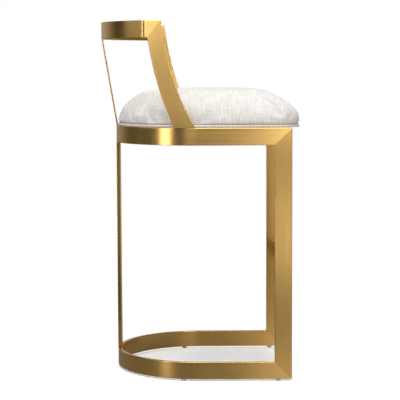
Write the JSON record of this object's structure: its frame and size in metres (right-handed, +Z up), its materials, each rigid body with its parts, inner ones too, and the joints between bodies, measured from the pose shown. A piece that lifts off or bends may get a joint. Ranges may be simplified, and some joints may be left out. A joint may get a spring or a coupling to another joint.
{
  "type": "bar stool with footrest",
  "caption": "Bar-height stool: flat-bar brass frame with D-plan hoops, curved low back band, front footrest bar and a domed woven seat cushion.",
  "frame": {"origin": "on the floor under the glides, at the centre of the stool's box in plan", "axes": "+X towards the stool's front, +Y towards the sitter's left, +Z up"},
  "size_m": [0.5246, 0.453, 0.937],
  "materials": {
    "frame_metal": "satin brushed, softly rounded edges",
    "zinc_hardware": "bright zinc plate",
    "glide_plastic": "matt grey",
    "plywood": "unfinished birch ply",
    "foam": "cut open-cell foam",
    "seat_fabric": "off-white slubby plain weave",
    "dust_cloth": "black non-woven"
  },
  "bodies": {
    "root": {"base_hoop": "frame_metal", "seat_hoop": "frame_metal", "front_leg_left": "frame_metal", "front_leg_right": "frame_metal", "rear_leg": "frame_metal", "front_seat_rail": "frame_metal", "footrest_bar": "frame_metal", "back_band": "frame_metal", "arm_left": "frame_metal", "arm_right": "frame_metal", "back_strut": "frame_metal", "seat_tab_front_left": "frame_metal", "seat_tab_front_right": "frame_metal", "seat_tab_rear_left": "frame_metal", "seat_tab_rear_right": "frame_metal", "seat_screw_front_left": "zinc_hardware", "seat_screw_front_right": "zinc_hardware", "seat_screw_rear_left": "zinc_hardware", "seat_screw_rear_right": "zinc_hardware", "tee_nut_front_left": "zinc_hardware", "tee_nut_front_right": "zinc_hardware", "tee_nut_rear_left": "zinc_hardware", "tee_nut_rear_right": "zinc_hardware", "glide_stud_front_left": "zinc_hardware", "glide_stud_front_right": "zinc_hardware", "glide_stud_rear_left": "zinc_hardware", "glide_stud_rear_right": "zinc_hardware", "glide_pad_front_left": "glide_plastic", "glide_pad_front_right": "glide_plastic", "glide_pad_rear_left": "glide_plastic", "glide_pad_rear_right": "glide_plastic", "seat_board": "plywood", "seat_foam": "foam", "seat_cover": "seat_fabric", "seat_welt": "seat_fabric", "dust_cover": "dust_cloth"}
  },
  "joints": []
}
